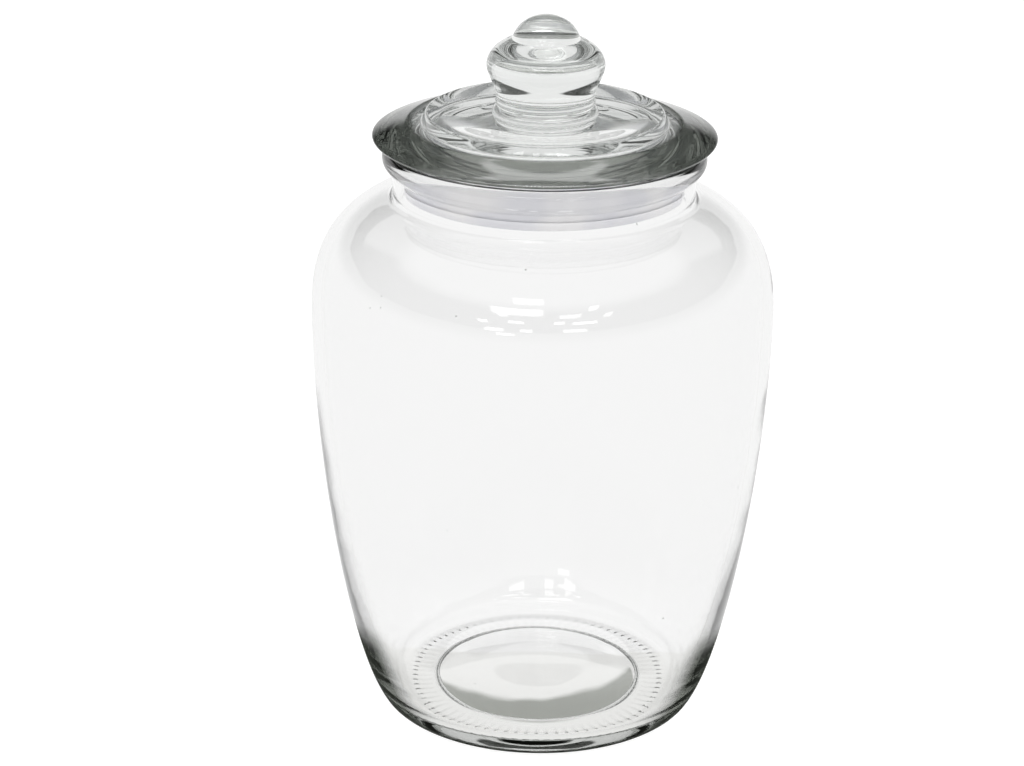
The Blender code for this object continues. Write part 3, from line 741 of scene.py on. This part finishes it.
def glass(name, tint, edge_shade, slope, ramps, depth_tint, density):
    """Soda lime glass, clear and mirror smooth, that greys where light goes a long way through it.

    It cooled with a fire polished skin, so the eye gets sharp highlights that bend a little over long
    soft swells, and a few seeds, the small bubbles left in the melt. The skin's colour carries a painted
    shade, the edge shade, where the radius less slope times the height, and how far the skin turns from
    the eye, are past their ramps: it darkens the thick heel or rim seen edge on, as light trapped in
    them would. Light on its way out of the glass doesn't get the painted shade there.
    """
    material, tree = new_tree(name)
    place = add(tree, "ShaderNodeTexCoord").outputs["Object"]
    swell = {"Vector": place, "Scale": 1 / SWELL_LENGTH, "Detail": 1.0}
    swell = add(tree, "ShaderNodeTexNoise", swell).outputs["Fac"]
    bump = {"Height": swell, "Strength": SWELL_STRENGTH, "Distance": SWELL_DEPTH}
    bump = add(tree, "ShaderNodeBump", bump).outputs["Normal"]
    seeds = {"Vector": place, "Scale": 1 / SEED_SPACING}
    seeds = add(tree, "ShaderNodeTexVoronoi", seeds).outputs["Distance"]
    stops = ((SEED_CORE_SHARE, linear(SEED_TINT)), (SEED_EDGE_SHARE, tint))
    skin = add(tree, "ShaderNodeValToRGB", {"Fac": seeds}, stops=stops).outputs["Color"]

    height = add(tree, "ShaderNodeSeparateXYZ", {"Vector": place}).outputs["Z"]
    level = add(tree, "ShaderNodeVectorMath", {0: place, 1: (1.0, 1.0, 0.0)}, operation="MULTIPLY")
    radius = add(tree, "ShaderNodeVectorMath", {0: level.outputs["Vector"]}, operation="LENGTH")
    reach = {0: height, 1: -slope, 2: radius.outputs["Value"]}
    values = {
        "reach": add(tree, "ShaderNodeMath", reach, operation="MULTIPLY_ADD").outputs["Value"],
        "facing": add(tree, "ShaderNodeLayerWeight", {"Blend": 0.5}).outputs["Facing"],
        "inner": add(tree, "ShaderNodeNewGeometry").outputs["Backfacing"],
    }
    edge = work_out(tree, values, ramps, EDGE_SHADE_SUMS)["edge"]
    skin = {0: edge, 6: skin, 7: edge_shade}
    surface = {
        "Base Color": add(tree, "ShaderNodeMix", skin, data_type="RGBA").outputs[2],
        "Roughness": 0.0,
        "IOR": GLASS_IOR,
        "Transmission Weight": 1.0,
        "Normal": bump,
    }
    surface = add(tree, "ShaderNodeBsdfPrincipled", surface).outputs["BSDF"]
    depth = {"Color": linear(depth_tint), "Density": density}
    depth = add(tree, "ShaderNodeVolumeAbsorption", depth).outputs["Volume"]
    add(tree, "ShaderNodeOutputMaterial", {"Surface": surface, "Volume": depth})
    return material


def polyethylene(name, tint):
    """Injection moulded soft polyethylene: milky, with a dull sheen and the faint clouds of its flow."""
    material, tree = new_tree(name)
    place = add(tree, "ShaderNodeTexCoord").outputs["Object"]
    cloud = {"Vector": place, "Scale": 1 / CLOUD_LENGTH, "Detail": 2.0}
    cloud = add(tree, "ShaderNodeTexNoise", cloud).outputs["Fac"]
    stops = tuple(zip(CLOUD_SPAN, (tint, linear(CLOUD_TINT))))
    tone = add(tree, "ShaderNodeValToRGB", {"Fac": cloud}, stops=stops).outputs["Color"]
    surface = {"Base Color": tone, "Roughness": POLYETHYLENE_ROUGHNESS, "IOR": POLYETHYLENE_IOR}
    surface = add(tree, "ShaderNodeBsdfPrincipled", surface).outputs["BSDF"]
    add(tree, "ShaderNodeOutputMaterial", {"Surface": surface})
    return material


def floor_paper(tint):
    """White seamless paper: matt, with faint fibre clouds, and lifted to plain white where no shadow falls.

    Glass shows it as it lies under the jar: two white sheets that meet in a line from side to side
    under the jar's back, the nearer one a little darker, and the room's white further out. Rays through
    glass find a painted shadow, a grey crescent under the push-up, and rays off glass a painted contact
    shadow, a dark tone round where the jar stands.
    """
    material, tree = new_tree("seamless paper")
    place = add(tree, "ShaderNodeTexCoord").outputs["Object"]
    fibre = {"Vector": place, "Scale": 1 / FIBRE_LENGTH, "Detail": 2.0}
    fibre = add(tree, "ShaderNodeTexNoise", fibre).outputs["Fac"]
    stops = tuple(zip(FIBRE_SPAN, (tint, linear(FIBRE_TINT))))
    tone = add(tree, "ShaderNodeValToRGB", {"Fac": fibre}, stops=stops).outputs["Color"]
    matt = add(tree, "ShaderNodeBsdfDiffuse", {"Color": tone}).outputs["BSDF"]
    lift = {"Color": linear(PLAIN_WHITE), "Strength": PAPER_LIFT}
    lift = add(tree, "ShaderNodeEmission", lift).outputs["Emission"]
    plain = add(tree, "ShaderNodeAddShader", {0: matt, 1: lift}).outputs["Shader"]

    part = add(tree, "ShaderNodeSeparateXYZ", {"Vector": place}).outputs
    path = add(tree, "ShaderNodeLightPath").outputs
    wave = {"Vector": place, "Scale": 1 / WAVE_LENGTH, "Detail": 1.0}
    values = {name: path[label] for name, label in RAY_LABELS.items()}
    values.update(SHADOW_CRESCENT, one=1.0, half=0.5, X=part["X"], Y=part["Y"])
    values["reach"] = add(tree, "ShaderNodeVectorMath", {0: place}, operation="LENGTH").outputs["Value"]
    values["wave"] = add(tree, "ShaderNodeTexNoise", wave).outputs["Fac"]
    values = work_out(tree, values, {}, SHADOW_CRESCENT_SUMS)
    values = work_out(tree, values, PAPER_RAMPS, (*RAY_SUMS, *PAPER_SUMS))
    # The sheets, with painted shadows laid over them: the crescent under the push-up and the contact shadow
    # round the foot
    layers = {
        "far": linear(FAR_SHEET),
        "away": linear(ROOM_WHITE),
        "crescent_shadow": linear(CRESCENT_SHADOW_TONE),
        "contact_shadow": linear(CONTACT_SHADOW_TONE),
    }
    seen = linear(NEAR_SHEET)
    for name, layer in layers.items():
        inputs = {0: values[name], 6: seen, 7: layer}
        seen = add(tree, "ShaderNodeMix", inputs, data_type="RGBA").outputs[2]
    seen = add(tree, "ShaderNodeEmission", {"Color": seen}).outputs["Emission"]
    both = {0: values["shown"], 1: plain, 2: seen}
    both = add(tree, "ShaderNodeMixShader", both).outputs["Shader"]
    add(tree, "ShaderNodeOutputMaterial", {"Surface": both})
    return material


def window_panes(tree, direction):
    """The share of a bright pane in a direction.

    It falls smoothly from 1 to 0 where the larger of |X - x| / half width and |Z - z| / half height
    goes past 1, and the panes' shares join by the largest.
    """
    total = 0.0
    for x, z, half_x, half_z in WINDOW_PANES:
        offset = add(tree, "ShaderNodeVectorMath", {0: direction, 1: (x, 0.0, z)}, operation="SUBTRACT")
        scale = {0: offset.outputs["Vector"], 1: (1 / half_x, 0.0, 1 / half_z)}
        scale = add(tree, "ShaderNodeVectorMath", scale, operation="MULTIPLY").outputs["Vector"]
        share = add(tree, "ShaderNodeVectorMath", {0: scale}, operation="ABSOLUTE").outputs["Vector"]
        part = add(tree, "ShaderNodeSeparateXYZ", {"Vector": share}).outputs
        widest = add(tree, "ShaderNodeMath", {0: part["X"], 1: part["Z"]}, operation="MAXIMUM")
        values = {"widest": widest.outputs["Value"], "total": total}
        total = work_out(tree, values, PANE_RAMPS, PANE_SUMS)["total"]
    return total


def studio_world(scene):
    """Plain white light from all round, and plain white straight to the camera.

    A ray that comes to the world through glass or off glass, before it meets anything matt, finds
    the photographer's room instead: white, with a dim ring round it that is darker on the left, and a
    window of bright panes before the jar. Through glass the ring is narrow and has a gap behind the
    jar. Off glass it is wider and softer, and a lamp shows high up behind the jar.
    """
    world = bpy.data.worlds.new("studio")
    world.use_nodes = True
    tree = world.node_tree
    tree.nodes.clear()
    direction = add(tree, "ShaderNodeTexCoord").outputs["Generated"]
    part = add(tree, "ShaderNodeSeparateXYZ", {"Vector": direction}).outputs
    path = add(tree, "ShaderNodeLightPath").outputs
    values = {name: path[label] for name, label in RAY_LABELS.items()}
    values.update(one=1.0, half=0.5, X=part["X"], Y=part["Y"], Z=part["Z"])
    values["across"] = add(tree, "ShaderNodeMath", {0: part["X"]}, operation="ABSOLUTE").outputs["Value"]
    values["panes"] = window_panes(tree, direction)
    values = work_out(tree, values, ROOM_RAMPS, (*RAY_SUMS, *ROOM_SUMS))
    light = (LIGHT_STRENGTH, LIGHT_STRENGTH, LIGHT_STRENGTH, 1.0)
    layers = {
        "right": linear(RIGHT_SIDE),
        "white": linear(ROOM_WHITE),
        "window": light,
        "lamp": light,
        "hidden": linear(PLAIN_WHITE),
        "camera": linear(PLAIN_WHITE),
    }
    tone = linear(LEFT_SIDE)
    for name, layer in layers.items():
        inputs = {0: values[name], 6: tone, 7: layer}
        tone = add(tree, "ShaderNodeMix", inputs, data_type="RGBA").outputs[2]
    background = add(tree, "ShaderNodeBackground", {"Color": tone, "Strength": 1.0})
    add(tree, "ShaderNodeOutputWorld", {"Surface": background.outputs["Background"]})
    scene.world = world


class JAR_OT_body(bpy.types.Operator):
    """Makes the blown glass jar in place of its plain solid"""
    bl_idname = "jar.body"
    bl_label = "Jar body"

    def execute(self, context):
        sizes = context.scene.jar_sizes
        outline = jar_outline(sizes)
        points = turned_points(outline, TURN_STEPS)
        press_dashes(points, sizes)
        looks = context.scene.jar_looks
        # The glass's tint, and the painted shade on its heel
        tint_and_shade = (looks.jar_glass, looks.jar_heel_shade)
        depth = (JAR_DEPTH_TINT, JAR_DEPTH_DENSITY)
        material = glass("blown soda lime glass", *tint_and_shade, HEEL_SHADE_SLOPE, HEEL_SHADE_RAMPS, *depth)
        faces = turned_faces(len(outline), TURN_STEPS, closed=False)
        piece = make_piece("jar_body", points, faces, material)
        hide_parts("glass_jar")
        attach(piece, "jar")
        return {"FINISHED"}


class JAR_OT_seal(bpy.types.Operator):
    """Makes the polyethylene seal ring"""
    bl_idname = "jar.seal"
    bl_label = "Seal ring"

    def execute(self, context):
        sizes = context.scene.seal_sizes
        outline = seal_outline(sizes, context.scene.jar_sizes.neck_radius)
        outline[:, 1] += sizes.seat_height
        steps = TURN_STEPS // 2
        points = turned_points(outline, steps)
        material = polyethylene("moulded polyethylene", context.scene.jar_looks.seal)
        faces = turned_faces(len(outline), steps, closed=True)
        piece = make_piece("seal", points, faces, material)
        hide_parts("seal_ring")
        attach(piece, "seal")
        return {"FINISHED"}


class JAR_OT_lid(bpy.types.Operator):
    """Makes the pressed glass lid"""
    bl_idname = "jar.lid"
    bl_label = "Lid"

    def execute(self, context):
        sizes = context.scene.lid_sizes
        outline = lid_outline(sizes, context.scene.jar_sizes.neck_radius)
        outline[:, 1] += sizes.seat_height
        points = turned_points(outline, TURN_STEPS)
        looks = context.scene.jar_looks
        # Where the painted shade on the rim's skin starts and where it is full
        rim_shade_start = sizes.rim_radius - RIM_SHADE_WIDTH
        rim_shade_end = sizes.rim_radius - CROWN_WIDTH
        ramps = {"out": ("reach", rim_shade_start, rim_shade_end), "turned": ("facing", *RIM_SHADE_FACING)}
        # The glass's tint, and the painted shade on its rim
        tint_and_shade = (looks.lid_glass, looks.lid_rim_shade)
        depth = (LID_DEPTH_TINT, LID_DEPTH_DENSITY)
        material = glass("pressed soda lime glass", *tint_and_shade, 0.0, ramps, *depth)
        faces = turned_faces(len(outline), TURN_STEPS, closed=False)
        piece = make_piece("lid_glass", points, faces, material)
        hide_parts("glass_lid")
        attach(piece, "lid")
        return {"FINISHED"}


class JAR_OT_stage(bpy.types.Operator):
    """Lays the floor and sets up the light and the camera"""
    bl_idname = "jar.stage"
    bl_label = "Stage"

    def execute(self, context):
        scene = context.scene
        half = FLOOR_HALF_WIDTH
        turns = ((-1, -1), (1, -1), (1, 1), (-1, 1))
        corners = [(half * x, half * y, -FLOOR_DROP) for x, y in turns]
        mesh = bpy.data.meshes.new("floor")
        mesh.from_pydata(corners, [], [(0, 1, 2, 3)])
        mesh.materials.append(floor_paper(scene.jar_looks.floor))
        floor = bpy.data.objects.new("floor", mesh)
        scene.collection.objects.link(floor)
        studio_world(scene)

        data = bpy.data.cameras.new("camera")
        data.lens = CAMERA_LENS
        camera = bpy.data.objects.new("camera", data)
        camera.location = (0.0, -CAMERA_DISTANCE, CAMERA_HEIGHT)
        turn = Euler((math.pi / 2 + CAMERA_PITCH, 0.0, CAMERA_YAW)).to_quaternion()
        roll = Euler((0.0, 0.0, CAMERA_ROLL)).to_quaternion()
        camera.rotation_mode = "QUATERNION"
        camera.rotation_quaternion = turn @ roll
        scene.collection.objects.link(camera)
        scene.camera = camera
        scene.view_settings.view_transform = "Standard"
        scene.cycles.max_bounces = LIGHT_BOUNCES
        scene.cycles.transmission_bounces = LIGHT_BOUNCES
        scene.cycles.glossy_bounces = LIGHT_BOUNCES
        scene.cycles.blur_glossy = 0.0
        return {"FINISHED"}


class JAR_PT_panel(bpy.types.Panel):
    """Lists the jar's pieces and their sizes"""
    bl_idname = "JAR_PT_panel"
    bl_label = "Glass Storage Jar"
    bl_space_type = "VIEW_3D"
    bl_region_type = "UI"
    bl_category = "Jar"

    def draw(self, context):
        for operator in OPERATORS:
            self.layout.operator(operator.bl_idname)
        for name in GROUPS:
            group = getattr(context.scene, name)
            box = self.layout.box()
            for key in group.bl_rna.properties.keys():
                if key not in ("rna_type", "name"):
                    box.prop(group, key)


GROUPS = {"jar_sizes": JarSizes, "lid_sizes": LidSizes, "seal_sizes": SealSizes, "jar_looks": JarLooks}
OPERATORS = (JAR_OT_body, JAR_OT_seal, JAR_OT_lid, JAR_OT_stage)


def register():
    """Adds the classes and the scene's groups of sizes and colours."""
    for item in (*GROUPS.values(), *OPERATORS, JAR_PT_panel):
        bpy.utils.register_class(item)
    for name, group in GROUPS.items():
        setattr(bpy.types.Scene, name, PointerProperty(type=group))


def unregister():
    """Takes away what register adds, in the opposite order."""
    for name in GROUPS:
        delattr(bpy.types.Scene, name)
    for item in (JAR_PT_panel, *reversed(OPERATORS), *GROUPS.values()):
        bpy.utils.unregister_class(item)


def main():
    """Makes the pieces and the stage."""
    register()
    bpy.ops.jar.body()
    bpy.ops.jar.seal()
    bpy.ops.jar.lid()
    bpy.ops.jar.stage()


if __name__ == "__main__":
    main()
